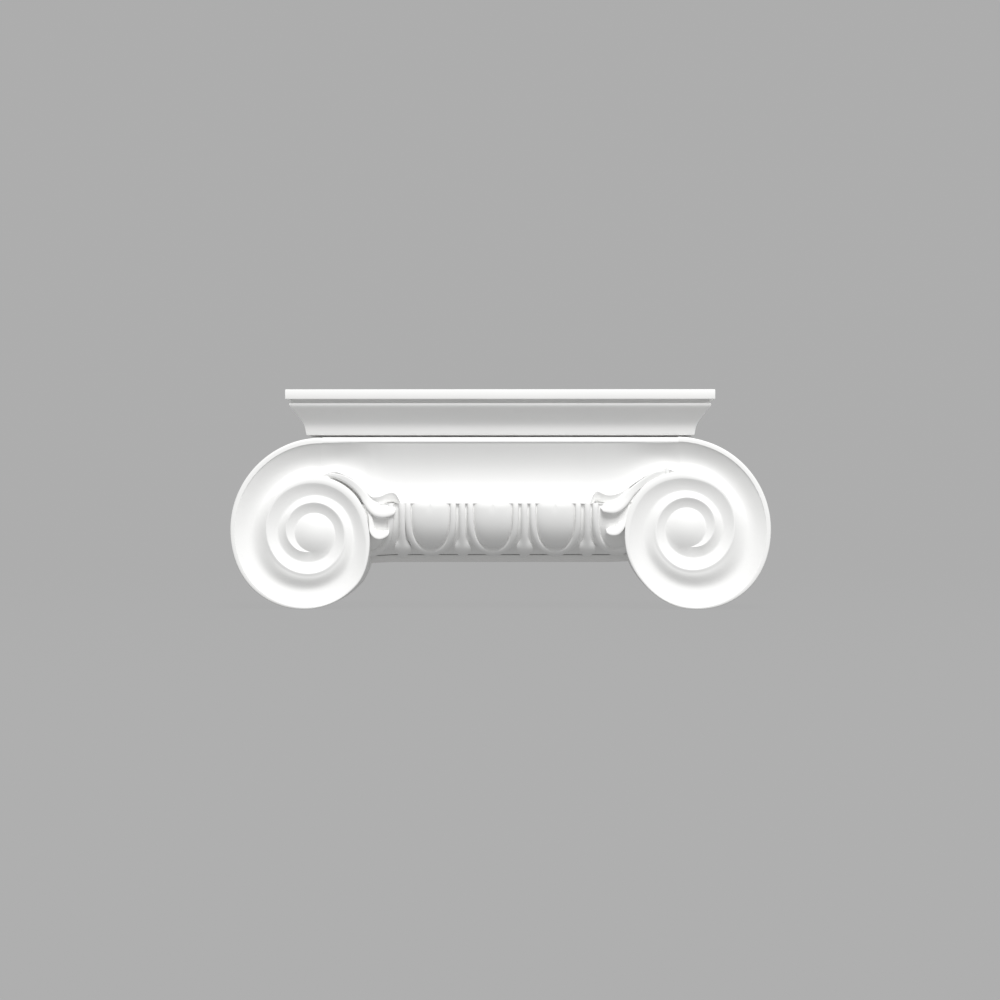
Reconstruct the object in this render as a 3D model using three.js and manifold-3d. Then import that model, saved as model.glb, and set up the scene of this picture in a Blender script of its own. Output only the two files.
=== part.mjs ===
// Ionic capital for a wall pilaster, moulded in one piece with a flat back.
// Millimetres, +Z up. The front faces -Y, the back lies against the wall, and the
// origin is under the middle of the capital, level with the undersides of the scrolls.

import * as THREE from 'three';
import { mergeVertices } from 'three/addons/utils/BufferGeometryUtils.js';
import Module from 'manifold-3d';

const wasm = await Module();
wasm.setup();

// Overall sizes. A depth is measured forward from the wall.
const DEPTH = 72;
const BACK_Y = DEPTH / 2;
const TOP_Z = 138;

// The scrolls, or volutes: their eyes, and the crest that winds in from the top
// band to the eye, as its distance from the eye at turns counted in degrees.
// 0 is straight above the eye, 90 on the outer side, 180 below it.
const EYE_X = 117;
const SCROLL_DEPTH = 61;
const CREST_DEGREES = [-45, 0, 45, 90, 135, 180, 225, 270, 315, 360, 450, 540, 630, 720, 810, 890, 1260];
const CREST_RADII = [
  80, 58.2, 54.5, 53, 53.5, 49.4, 42.6, 37.4, 36.4, 35, 30.3, 26.3, 19.5, 19.2, 17.8, 13, 13,
];
const EYE_RADIUS = 12.2;
const EYE_RISE = 1.4;
const CHANNEL_SHARE = 0.24;
const MERGE_DEGREES = 45;
const SECTORS = 40;

// One turn of the channel between two crests, as shares of its width and depth.
const CHANNEL_TURN = [
  [0, 0],
  [0.13, 0],
  [0.17, 0.2],
  [0.4, 0.78],
  [0.65, 1],
  [0.86, 0.5],
  [0.97, 0.1],
];

// Heights of the mouldings below the top band, or listel, which is as high as the
// scrolls' outer crest.
const LISTEL_HEIGHT = 3.2;
const LISTEL_STEP = 1.1;
const CHANNEL_TOP = 104.6;
const CHANNEL_DEEPEST = 0.57;
const CHANNEL_HOLLOW = 6;
const LEDGE_Z = 66.6;
const LEDGE_DEPTH = 60;
const OVOLO_FRONT = 57.8;
const OVOLO_FOOT_DEPTH = 32;
const OVOLO_FOOT_Z = 34.2;
const QUIRK = 0.9;
const NECK_DEPTH = 34;
const NECK_TOP = 33.6;
const NECK_Z = 29.8;

// The abacus: the front line of its upper edge, and the profile below it as
// distances in from that line and heights.
const ABACUS_HALF_WIDTH = 135;
const ABACUS_GROOVE_IN = 21;
const ABACUS_PROFILE = [
  [0, TOP_Z],
  [0, 132.1],
  [2.5, 131.9],
  [3.1, 129.4],
  [3.8, 127.5],
  [5.05, 125.3],
  [7.35, 121.9],
  [9.4, 119],
  [10.8, 116.5],
  [11.7, 113.5],
  [12.5, 109.7],
  [ABACUS_GROOVE_IN, 109.7],
  [ABACUS_GROOVE_IN, 106],
];

// The egg-and-dart row on the ovolo. As on the real piece, its middle egg sits a
// little left of the capital's middle. Distances down are from the ovolo's top edge.
const EGG_PITCH = 39.3;
const ROW_SHIFT = -4.6;
const EGG_HALF_WIDTH = 11.9;
const EGG_DOWN = 28.3;
const EGG_RISE = 3.1;
const EGG_BLUNTNESS = 4.3;
// Eggs, shells and darts start this share of the curve above its top edge.
const TUCK = 0.008;
const SHELL_HALF_WIDTH = 16.2;
const SHELL_DOWN = 31.1;
const SHELL_RISE = 2.2;
const DARTS_X = [-61.8, -24, 15.2, 54.8];
const DART_STEM = 1.95;
const DART_BARB = 5.1;
const DART_RISE = 2.3;
const DART_BARB_DOWN = 24.2;
const DART_DOWN = 29.9;

// The half palmettes in the corners between the scrolls and the ovolo: the middle
// lines of the curled lip, the broad leaf with its stalk, and the crescent leaf that
// hugs the ring, measured from the eye, inward and up, with the half thickness at the
// root and the tip and the depth of the front.
const LEAVES = [
  { line: [[35, 25.6], [40, 22.4], [47, 21.8], [53, 21.4]], root: 1.2, tip: 1.9, front: 59.6 },
  { line: [[8, 36.2], [15, 34.8], [24, 30.6], [31, 24.6]], root: 0.9, tip: 2.4, front: 59.8 },
  { line: [[31, 24.6], [36, 18.2], [42, 13.6], [51, 13.6]], root: 2.4, tip: 3.4, front: 61.2 },
  { line: [[20, 30], [29.5, 21.5], [34.4, 11], [37, 3.6]], root: 1.1, tip: 1.9, front: 59.4 },
  { line: [[37, 3.6], [39.6, -0.8], [43.6, -2.2], [48.6, 0.4]], root: 2.1, tip: 2, front: 60.8 },
];
const LEAF_DEPTH = 16;
const LEAF_STEPS = 7;
const LEAF_SIDES = 8;

// The middle makes room for the scrolls inside this distance from their outline.
const SKIN = 1.2;

const COLOUR = '#f4f4f4';

const crest = new THREE.CubicInterpolant(CREST_DEGREES, CREST_RADII, 1);
const crestRadius = (degrees) => crest.evaluate(degrees)[0];

// The corners of a scroll's outline are this many degrees apart. The lowest of them
// rests at height 0, which gives the height of the eye.
const SECTOR = 360 / SECTORS;
const cornerDrops = Array.from({ length: SECTORS }, (_, i) =>
  -crestRadius(i * SECTOR) * Math.cos(THREE.MathUtils.degToRad(i * SECTOR)),
);
const EYE_Z = Math.max(...cornerDrops);
const LISTEL_TOP = EYE_Z + crestRadius(0);

// A closed mesh as a solid that can be joined and cut.
function solidOf(geometry) {
  const bare = geometry.clone();
  bare.deleteAttribute('normal');
  bare.deleteAttribute('uv');
  const merged = mergeVertices(bare, 1e-4);
  return new wasm.Manifold(
    new wasm.Mesh({
      numProp: 3,
      vertProperties: new Float32Array(merged.attributes.position.array),
      triVerts: new Uint32Array(merged.index.array),
    }),
  );
}

function geometryOf(solid) {
  const mesh = solid.getMesh();
  const geometry = new THREE.BufferGeometry();
  geometry.setAttribute('position', new THREE.BufferAttribute(mesh.vertProperties, 3));
  geometry.setIndex(new THREE.BufferAttribute(mesh.triVerts, 1));
  geometry.computeVertexNormals();
  return geometry;
}

const joined = (solids) => solids.reduce((whole, piece) => whole.add(piece));

// Move every vertex of a geometry to the place that a function gives for it.
function mapped(geometry, place) {
  const position = geometry.attributes.position;
  const point = new THREE.Vector3();
  for (let i = 0; i < position.count; i += 1) {
    point.fromBufferAttribute(position, i);
    place(point);
    position.setXYZ(i, point.x, point.y, point.z);
  }
  return geometry;
}

// A section given as depths and heights, run along X from one end to the other.
function runAlongX(section, halfLength) {
  const shape = new THREE.Shape(section.map(([depth, z]) => new THREE.Vector2(depth, z)));
  const geometry = new THREE.ExtrudeGeometry(shape, { depth: 2 * halfLength, bevelEnabled: false });
  return solidOf(
    mapped(geometry, (p) => p.set(halfLength - p.z, BACK_Y - p.x, p.y)),
  );
}

// How far forward the hollow of the channel is where it crosses the front, at a
// height between the top band and the ledge.
function channelDepth(z) {
  const share = THREE.MathUtils.clamp((CHANNEL_TOP - z) / (CHANNEL_TOP - LEDGE_Z), 0, 1);
  const brim = SCROLL_DEPTH - LISTEL_STEP;
  const deepest = brim - CHANNEL_HOLLOW;
  if (share < CHANNEL_DEEPEST) {
    return brim - CHANNEL_HOLLOW * Math.sin((Math.PI / 2) * (share / CHANNEL_DEEPEST));
  }
  const low = (share - CHANNEL_DEEPEST) / (1 - CHANNEL_DEEPEST);
  return THREE.MathUtils.lerp(deepest, LEDGE_DEPTH, 1 - Math.cos((Math.PI / 2) * low));
}

function channelPoints() {
  const steps = 9;
  const heights = Array.from({ length: steps + 1 }, (_, i) =>
    THREE.MathUtils.lerp(CHANNEL_TOP, LEDGE_Z, i / steps),
  );
  return heights.map((z) => [channelDepth(z), z]);
}

// The ovolo's curve: 0 is its top edge and 1 its foot.
function ovoloPoint(share) {
  const angle = (share * Math.PI) / 2;
  const depth = OVOLO_FOOT_DEPTH + (OVOLO_FRONT - OVOLO_FOOT_DEPTH) * Math.cos(angle);
  const z = LEDGE_Z - (LEDGE_Z - OVOLO_FOOT_Z) * Math.sin(angle);
  return [depth, z];
}

// The share of the ovolo's curve at a distance down from its top edge.
const ovoloShare = (down) => Math.asin(down / (LEDGE_Z - OVOLO_FOOT_Z)) / (Math.PI / 2);

function ovoloPoints() {
  const steps = 8;
  return Array.from({ length: steps + 1 }, (_, i) => ovoloPoint(i / steps));
}

// The straight middle: top band, channel, ovolo and neck, with the back to the wall.
function middle() {
  const section = [
    [0, NECK_Z],
    [NECK_DEPTH, NECK_Z],
    [NECK_DEPTH, NECK_TOP],
    [OVOLO_FOOT_DEPTH - QUIRK, NECK_TOP],
    ...ovoloPoints().reverse(),
    ...channelPoints().reverse(),
    [SCROLL_DEPTH, LISTEL_TOP - LISTEL_HEIGHT],
    [SCROLL_DEPTH, LISTEL_TOP],
    [0, LISTEL_TOP],
  ];
  return runAlongX(section, EYE_X);
}

// The abacus is the overlap of its front profile, run along X, and its outline as
// seen from the front, run from the wall forward: the corners come out mitred.
function abacus() {
  const foot = ABACUS_PROFILE[ABACUS_PROFILE.length - 1][1];
  const front = [...ABACUS_PROFILE.map(([inset, z]) => [DEPTH - inset, z]), [0, foot], [0, TOP_Z]];
  const right = ABACUS_PROFILE.map(([inset, z]) => new THREE.Vector2(ABACUS_HALF_WIDTH - inset, z));
  const left = right.map((p) => new THREE.Vector2(-p.x, p.y)).reverse();
  const outline = new THREE.ExtrudeGeometry(new THREE.Shape([...right, ...left]), {
    depth: DEPTH,
    bevelEnabled: false,
  });
  mapped(outline, (p) => p.set(p.x, BACK_Y - p.z, p.y));
  return runAlongX(front, ABACUS_HALF_WIDTH).intersect(solidOf(outline));
}

// The front of a scroll along one ray from its outer crest to the eye: points as
// radius and depth. Where the outer turn leaves the straight middle it still has
// the middle's hollow, and takes its own over the first part of the turn.
function scrollRay(degrees) {
  const points = [];
  for (let turn = 0; turn < 3; turn += 1) {
    const outer = crestRadius(degrees + 360 * turn);
    const inner = turn < 2 ? crestRadius(degrees + 360 * (turn + 1)) : EYE_RADIUS;
    const drop = CHANNEL_SHARE * (outer - inner);
    const straight = turn === 0 ? 1 - THREE.MathUtils.smoothstep(degrees, 0, MERGE_DEGREES) : 0;
    for (const [across, down] of CHANNEL_TURN) {
      const own = SCROLL_DEPTH - drop * down;
      const crossing = channelDepth(LISTEL_TOP - across * (outer - inner));
      const depth = down === 0 ? own : THREE.MathUtils.lerp(own, crossing, straight);
      points.push([THREE.MathUtils.lerp(outer, inner, across), depth]);
    }
  }
  const eyeFoot = SCROLL_DEPTH - 2.5;
  for (const share of [1, 0.85, 0.5]) {
    const dome = (SCROLL_DEPTH + EYE_RISE - eyeFoot) * Math.sqrt(1 - share ** 2);
    points.push([EYE_RADIUS * share, eyeFoot + dome]);
  }
  return points;
}

// A scroll's solid: the rays round the eye, joined to a plain side and a flat back.
// The last ray is one turn in from the first, so a wall closes the step between.
function scroll() {
  const rays = Array.from({ length: SECTORS }, (_, i) => scrollRay(i * SECTOR));
  const perRay = rays[0].length;
  const perTurn = CHANNEL_TURN.length;
  const corners = [];
  const faces = [];
  const corner = (radius, degrees, depth) => {
    const angle = THREE.MathUtils.degToRad(degrees);
    const x = EYE_X + radius * Math.sin(angle);
    corners.push(x, BACK_Y - depth, EYE_Z + radius * Math.cos(angle));
    return corners.length / 3 - 1;
  };
  const eyeFront = corner(0, 0, SCROLL_DEPTH + EYE_RISE);
  const eyeBack = corner(0, 0, 0);
  const front = [];
  const back = [];
  for (let i = 0; i < SECTORS; i += 1) {
    const degrees = i * SECTOR;
    front.push(rays[i].map(([radius, depth]) => corner(radius, degrees, depth)));
    back.push(corner(rays[i][0][0], degrees, 0));
  }
  // The closing ray shares its corners with the first one, a turn further in, and
  // its own third turn has shrunk to nothing at the eye.
  front.push([
    ...front[0].slice(perTurn, 3 * perTurn),
    ...Array(perTurn).fill(front[0][3 * perTurn]),
    ...front[0].slice(3 * perTurn),
  ]);
  const stepBack = corner(rays[0][perTurn][0], 0, 0);
  back.push(stepBack);
  const quad = (a, b, c, d) => {
    for (const face of [[a, b, c], [a, c, d]]) {
      if (new Set(face).size === 3) {
        faces.push(...face);
      }
    }
  };
  for (let i = 0; i < SECTORS; i += 1) {
    const here = front[i];
    const next = front[i + 1];
    for (let k = 0; k < perRay - 1; k += 1) {
      quad(here[k], here[k + 1], next[k + 1], next[k]);
    }
    faces.push(here[perRay - 1], eyeFront, next[perRay - 1]);
    quad(back[i], here[0], next[0], back[i + 1]);
    faces.push(back[i], back[i + 1], eyeBack);
  }
  // The wall on the step at the top, and the back's last edge.
  const step = front[0].slice(0, perTurn + 1);
  for (let k = 0; k < perTurn; k += 1) {
    faces.push(back[0], step[k + 1], step[k]);
  }
  faces.push(back[0], stepBack, step[perTurn]);
  faces.push(back[0], eyeBack, stepBack);
  const geometry = new THREE.BufferGeometry();
  geometry.setAttribute('position', new THREE.Float32BufferAttribute(corners, 3));
  geometry.setIndex(faces);
  return solidOf(geometry);
}

// Wrap a flat relief onto the ovolo: X runs along the row, Y down from the top edge
// (0) to the foot (-1), and Z stands out from the curve.
function onOvolo(geometry) {
  const ahead = 0.01;
  return solidOf(
    mapped(geometry, (p) => {
      const [depth, z] = ovoloPoint(-p.y);
      const [nextDepth, nextZ] = ovoloPoint(-p.y + ahead);
      const out = new THREE.Vector2(z - nextZ, nextDepth - depth).normalize();
      p.set(p.x, BACK_Y - depth - p.z * out.x, z + p.z * out.y);
    }),
  );
}

// An egg's outline in that flat plan, open at the top edge and round at the foot.
function eggShape(middleX, halfWidth, lowest, top) {
  const steps = 16;
  const shape = new THREE.Shape();
  for (let i = 0; i <= steps; i += 1) {
    const angle = (Math.PI * i) / steps;
    const sink = Math.min(1, Math.sin(angle));
    const side = Math.sign(Math.cos(angle).toFixed(6));
    const x = middleX + side * halfWidth * Math.sqrt(1 - sink ** EGG_BLUNTNESS);
    const y = i % steps === 0 ? top : -ovoloShare(lowest * sink);
    if (i === 0) {
      shape.moveTo(x, y);
    } else {
      shape.lineTo(x, y);
    }
  }
  return shape;
}

// The shells at the ends of the row are mostly behind the leaves and hold no egg.
function shell(middleX) {
  const band = new THREE.ExtrudeGeometry(eggShape(middleX, SHELL_HALF_WIDTH, SHELL_DOWN, TUCK), {
    depth: 2 * SHELL_RISE,
    bevelEnabled: false,
  });
  const inner = eggShape(middleX, EGG_HALF_WIDTH + 0.5, EGG_DOWN + 0.5, 2 * TUCK);
  const field = new THREE.ExtrudeGeometry(inner, { depth: 4 * SHELL_RISE, bevelEnabled: false });
  band.translate(0, 0, -SHELL_RISE);
  field.translate(0, 0, 0.2);
  return onOvolo(band).subtract(onOvolo(field));
}

function egg(middleX) {
  const geometry = new THREE.SphereGeometry(1, 14, 8);
  geometry.scale(EGG_HALF_WIDTH, ovoloShare(EGG_DOWN), EGG_RISE);
  geometry.translate(middleX, 0, 0);
  mapped(geometry, (p) => p.setY(Math.min(p.y, TUCK)));
  return onOvolo(geometry);
}

function dart(middleX) {
  const shape = new THREE.Shape();
  const barbHigh = -ovoloShare(DART_BARB_DOWN);
  const barbLow = -ovoloShare(DART_BARB_DOWN + 1.6);
  const tipHigh = -ovoloShare(DART_DOWN - 1.6);
  const tip = -ovoloShare(DART_DOWN);
  shape.moveTo(middleX - DART_STEM, TUCK);
  shape.lineTo(middleX - DART_STEM * 1.3, barbHigh);
  shape.lineTo(middleX - DART_BARB, barbLow);
  shape.quadraticCurveTo(middleX - DART_BARB, tipHigh, middleX, tip);
  shape.quadraticCurveTo(middleX + DART_BARB, tipHigh, middleX + DART_BARB, barbLow);
  shape.lineTo(middleX + DART_STEM * 1.3, barbHigh);
  shape.lineTo(middleX + DART_STEM, TUCK);
  const geometry = new THREE.ExtrudeGeometry(shape, {
    depth: 2 * DART_RISE,
    bevelEnabled: false,
    curveSegments: 4,
  });
  geometry.translate(0, 0, -DART_RISE);
  return onOvolo(geometry);
}

// One leaf of a half palmette: a cylinder bent along its middle line, round in
// front, running back into the moulding behind it.
function leaf({ line, root, tip, front }) {
  const curve = new THREE.CatmullRomCurve3(
    line.map(([inward, up]) => new THREE.Vector3(EYE_X - inward, 0, EYE_Z + up)),
  );
  const geometry = new THREE.CylinderGeometry(1, 1, 1, LEAF_SIDES, LEAF_STEPS);
  return solidOf(
    mapped(geometry, (p) => {
      const share = THREE.MathUtils.clamp(p.y + 0.5, 0, 1);
      const middlePoint = curve.getPoint(share);
      const along = curve.getTangent(share);
      const across = new THREE.Vector3(along.z, 0, -along.x);
      const round = Math.sqrt(Math.max(0.12, 1 - Math.max(0, (share - 0.8) / 0.2) ** 2));
      const half = THREE.MathUtils.lerp(root, tip, share) * round;
      const behind = p.z < -0.1;
      const side = behind ? Math.sign(Math.round(p.x)) : p.x;
      const depth = front + (behind ? -LEAF_DEPTH : (p.z - 1) * half);
      p.copy(middlePoint).addScaledVector(across, side * half);
      p.y = BACK_Y - depth;
    }),
  );
}

// The room that the middle leaves for a scroll: the inner side of its outline, drawn
// in by the skin, run through the whole depth.
function scrollRoom() {
  const corners = [];
  for (let i = Math.ceil(SECTORS / 2) + 1; i < SECTORS; i += 1) {
    const angle = THREE.MathUtils.degToRad(i * SECTOR);
    const radius = crestRadius(i * SECTOR) - SKIN;
    corners.push(new THREE.Vector2(EYE_X + radius * Math.sin(angle), EYE_Z + radius * Math.cos(angle)));
  }
  const high = corners[corners.length - 1].y;
  const low = corners[0].y;
  corners.push(new THREE.Vector2(EYE_X + LISTEL_TOP, high));
  corners.push(new THREE.Vector2(EYE_X + LISTEL_TOP, low));
  const geometry = new THREE.ExtrudeGeometry(new THREE.Shape(corners), {
    depth: 2 * DEPTH,
    bevelEnabled: false,
  });
  return solidOf(mapped(geometry, (p) => p.set(p.x, DEPTH - p.z, p.y)));
}

function capital() {
  const mirrored = (solid) => [solid, solid.mirror([1, 0, 0])];
  const place = (n) => ROW_SHIFT + n * EGG_PITCH;
  const front = joined([
    middle(),
    ...[-2, -1, 0, 1, 2].map((n) => shell(place(n))),
    ...[-1, 0, 1].map((n) => egg(place(n))),
    ...DARTS_X.map(dart),
  ]);
  const whole = joined([
    front.subtract(joined(mirrored(scrollRoom()))),
    abacus(),
    ...mirrored(scroll()),
    ...mirrored(joined(LEAVES.map(leaf))),
  ]);
  const material = new THREE.MeshStandardMaterial({ color: COLOUR, roughness: 0.75, metalness: 0 });
  const mesh = new THREE.Mesh(geometryOf(whole), material);
  mesh.name = 'capital';
  return mesh;
}

const object = new THREE.Group();
object.add(capital());

export default object;
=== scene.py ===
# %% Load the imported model
import math

import bpy
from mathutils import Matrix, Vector


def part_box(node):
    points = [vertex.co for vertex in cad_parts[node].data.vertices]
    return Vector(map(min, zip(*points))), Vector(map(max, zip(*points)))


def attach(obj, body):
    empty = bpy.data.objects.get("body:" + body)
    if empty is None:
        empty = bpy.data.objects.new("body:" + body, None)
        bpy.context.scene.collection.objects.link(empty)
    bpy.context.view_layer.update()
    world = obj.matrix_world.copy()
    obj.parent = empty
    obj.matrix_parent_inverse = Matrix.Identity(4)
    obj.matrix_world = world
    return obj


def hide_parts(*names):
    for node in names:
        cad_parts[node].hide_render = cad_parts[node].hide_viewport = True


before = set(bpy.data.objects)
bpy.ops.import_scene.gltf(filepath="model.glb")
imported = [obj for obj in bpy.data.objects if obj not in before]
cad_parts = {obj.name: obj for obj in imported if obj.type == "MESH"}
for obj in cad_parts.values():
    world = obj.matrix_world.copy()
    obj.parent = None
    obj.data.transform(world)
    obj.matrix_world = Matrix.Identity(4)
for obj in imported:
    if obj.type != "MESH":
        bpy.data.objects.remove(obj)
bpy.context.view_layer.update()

MM = 0.001
LOW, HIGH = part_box("capital")
BACK_Y = HIGH[1]
TOP_Z = HIGH[2]
print("capital, mm:", [round((h - l) / MM, 1) for l, h in zip(LOW, HIGH)])

# %% [markdown]
# ## How this capital is built
# The real object is one moulding in rigid polyurethane, sprayed with white primer.
# A model maker would build the master for its mould from simple parts: a straight
# middle run through a profile, two scrolls, an abacus with mitred corners, eggs,
# darts and leaves. They are glued together and the mould is taken from the whole.
# This lesson does the same. Each part is a closed mesh, and a boolean union makes
# them one skin at the end, as the casting is.

# %% Helpers for objects and edit mode
def edit(obj):
    """Make obj the only selected object and open its mesh, with nothing selected in it."""
    bpy.ops.object.select_all(action="DESELECT")
    obj.select_set(True)
    bpy.context.view_layer.objects.active = obj
    bpy.ops.object.mode_set(mode="EDIT")
    bpy.ops.mesh.select_mode(type="VERT")
    bpy.ops.mesh.select_all(action="DESELECT")


def close_edit():
    bpy.ops.object.mode_set(mode="OBJECT")


def place(obj, points):
    """Put the vertices of obj at these points, given in millimetres."""
    flat = [MM * value for point in points for value in point]
    assert len(flat) == 3 * len(obj.data.vertices), (obj.name, len(flat) // 3, len(obj.data.vertices))
    obj.data.vertices.foreach_set("co", flat)
    obj.data.update()


def from_wall(x, depth, z):
    """A point in millimetres, where depth is measured forward from the wall."""
    return (x, BACK_Y / MM - depth, z)


def tidy_mesh(obj, merge_mm=0.001):
    """Merge doubled vertices, turn every face outwards and split the big faces."""
    edit(obj)
    bpy.ops.mesh.select_all(action="SELECT")
    bpy.ops.mesh.remove_doubles(threshold=merge_mm * MM)
    bpy.ops.mesh.dissolve_degenerate(threshold=1e-7)
    bpy.ops.mesh.quads_convert_to_tris(quad_method="BEAUTY", ngon_method="BEAUTY")
    bpy.ops.mesh.normals_make_consistent(inside=False)
    close_edit()


def is_closed(obj):
    edit(obj)
    bpy.ops.mesh.select_non_manifold(extend=False)
    close_edit()
    return not any(v.select for v in obj.data.vertices)


# %% [markdown]
# ## The mouldings and the grid that everything is set out on
# A model maker draws the front first. Heights are measured from the underside of the
# scrolls, depths forward from the wall, and distances to the sides from the middle.

# %% Sizes of the mouldings in mm
EYE_X = 117
SCROLL_DEPTH = 61
CREST_TOP = 58.3
ARC_SHIFT = 5.3

EYE_Z = 49.9
LISTEL_TOP = EYE_Z + CREST_TOP
LISTEL_HEIGHT = 3.2
LISTEL_STEP = 0.35
CHANNEL_TOP = LISTEL_TOP - LISTEL_HEIGHT
LEDGE_Z = 66.6
LEDGE_DEPTH = 59.5
OVOLO_FRONT = 57.8
OVOLO_FOOT_DEPTH = 32
OVOLO_FOOT_Z = 34.2
NECK_DEPTH = 34
NECK_TOP = 33.95
NECK_Z = 29.3
print("top band at", round(LISTEL_TOP, 2), "mm, channel", round(CHANNEL_TOP - LEDGE_Z, 1), "mm high")


def spread(first, last, count):
    """Evenly spaced values from first to last."""
    return [first + (last - first) * i / (count - 1) for i in range(count)]


# %% [markdown]
# ## The scroll: a strip wound up to the eye
# A volute is a channel between two ridges that winds in until it meets the eye.
# It could be turned from stacked rings, but a scroll is no circle: each ridge runs
# on into the next. So a flat grid is taken as the unrolled channel, with one row
# for each step of turn and one column for each place across. Winding it up puts
# its inner edge on the outer edge one turn later, and merging the doubled vertices
# sews the turns together.

# %% Lines of the scroll
# Distances from the eye in mm at turns in degrees: 0 is straight above the eye, 90
# on the outer side, 180 below, and so on inwards. Up to 90 the crest is a true arc.
CRESTS = [
    (45, 54.5), (90, 53), (135, 53.5), (180, 49.4), (225, 42.5), (270, 37.4), (315, 36.4),
    (360, 35), (405, 32.3), (450, 30.3), (495, 29), (540, 26.3), (585, 22.2), (630, 19.5),
    (675, 18.8), (720, 19.2), (765, 19), (810, 17.8), (855, 15.2), (890, 12.4), (980, 12.4),
]
# The deepest line of the channel inside each crest, and how deep it lies there.
VALLEYS = [
    (-90, 36), (0, 40.8), (45, 38.3), (90, 39.6), (135, 40.2), (180, 36.4), (225, 30.8),
    (270, 25.7), (315, 23.9), (360, 23.2), (405, 22.6), (450, 23.2), (495, 21.7), (540, 18.5),
    (585, 15.1), (630, 13.2), (675, 12.7), (720, 12.7), (810, 12.6), (890, 12.5), (980, 12.5),
]
HOLLOWS = [
    (-90, 6.4), (0, 6.4), (45, 5.7), (90, 4.7), (135, 3.8), (180, 3.8), (225, 3.2), (270, 3.1),
    (315, 3), (360, 2.9), (405, 3), (450, 3.2), (495, 3.9), (540, 4.8), (585, 3.5), (630, 2.8),
    (675, 2.5), (720, 2.5), (810, 2.5), (890, 2.5), (980, 2.5),
]
# Width of the flat band along each crest, and how far the last part sinks to the eye.
BANDS = [
    (-90, 3.2), (0, 3.2), (45, 3.1), (90, 2.9), (135, 2.2), (180, 1.2), (225, 1.3), (270, 3.1),
    (315, 4.4), (360, 4.1), (405, 1.3), (450, 0.6), (540, 0.6), (720, 0.6), (890, 0.1), (980, 0.1),
]
SINKS = [(0, 0), (720, 0), (765, 0.1), (810, 0.6), (855, 1.5), (890, 2.5), (980, 2.5)]
EYE_RADIUS = 12.4
EYE_FOOT = 2.5
STEP = 2.5
START = -math.degrees(math.atan2(ARC_SHIFT, CREST_TOP))
STRIP_ROWS = 359
END = START + STEP * (STRIP_ROWS - 1)


def through(pairs, at):
    """A smooth curve through the pairs, which never swings past them by much."""
    i = max(1, min(len(pairs) - 3, sum(1 for a, _ in pairs if a <= at) - 1))
    (a0, v0), (a1, v1), (a2, v2), (a3, v3) = pairs[i - 1:i + 3]
    t = (at - a1) / (a2 - a1)
    m1 = (v2 - v0) / (a2 - a0) * (a2 - a1)
    m2 = (v3 - v1) / (a3 - a1) * (a2 - a1)
    return (
        (2 * t ** 3 - 3 * t ** 2 + 1) * v1 + (t ** 3 - 2 * t ** 2 + t) * m1
        + (3 * t ** 2 - 2 * t ** 3) * v2 + (t ** 3 - t ** 2) * m2
    )


def smooth(value, low, high):
    share = max(0, min(1, (value - low) / (high - low)))
    return share * share * (3 - 2 * share)


def crest_radius(degrees):
    if degrees < 90:
        angle = math.radians(degrees)
        across = ARC_SHIFT * math.cos(angle)
        return math.sqrt(CREST_TOP ** 2 - across ** 2) - ARC_SHIFT * math.sin(angle)
    if degrees >= END - 0.01:
        return EYE_RADIUS
    return max(EYE_RADIUS, through(CRESTS, degrees))


def crest_sink(degrees):
    return 0 if degrees <= 720 else through(SINKS, min(degrees, END))


lowest = max(-crest_radius(d) * math.cos(math.radians(d)) for d in range(90, 271))
print("lowest point under the eye", round(lowest, 2), "strip ends at", round(END, 1), "degrees")

# %% [markdown]
# Across the strip the section is an edge, a band along the crest, a flank down to
# the valley and a flank up to the next crest. Low on the scroll the valleys are
# round, and the ridge has a soft shoulder on its lower side. Higher up and further
# in they are close to a V.

# %% Section of the channel
OUTER_ROUND = 1.35
INNER_ROUND = 1.3
FLANK_POINTS = 13


def edge_round(degrees):
    """Radius of the crest's outer edge, which melts away where the crest is no outline."""
    return 1.0 - 0.75 * smooth(degrees, 230, 290) - 0.25 * smooth(degrees, 370, 400)


def edge_roll(degrees):
    """The band on the ring rolls over towards its outer edge."""
    return 0.5 * smooth(degrees, 250, 320) * (1 - smooth(degrees, 370, 410))


def rim(degrees):
    return crest_sink(degrees) + edge_round(degrees) + edge_roll(degrees)


def flank(share, degrees, round_top):
    """0 at a crest and 1 at the valley: round in the low outer turn, else nearly straight."""
    steep = round_top + (1.3 - round_top) * smooth(degrees, 40, 130)
    hollow = steep * share - (steep - 1) * share ** (steep / (steep - 1))
    straight = share + 0.08 * math.sin(math.pi * share)
    mix = smooth(degrees, 225, 315)
    return hollow + (straight - hollow) * mix


def inner_flank(share, degrees, round_top):
    """The flank up to the next crest: low on the scroll it has a shoulder before it drops."""
    gentle = 0.09 * smooth(share, 0, 0.1) + 0.23 * share + 0.68 * smooth(share, 0.2, 1)
    low_down = smooth(degrees, 100, 150) * (1 - smooth(degrees, 225, 270))
    own = flank(share, degrees, round_top)
    return own + (gentle - own) * low_down


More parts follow.
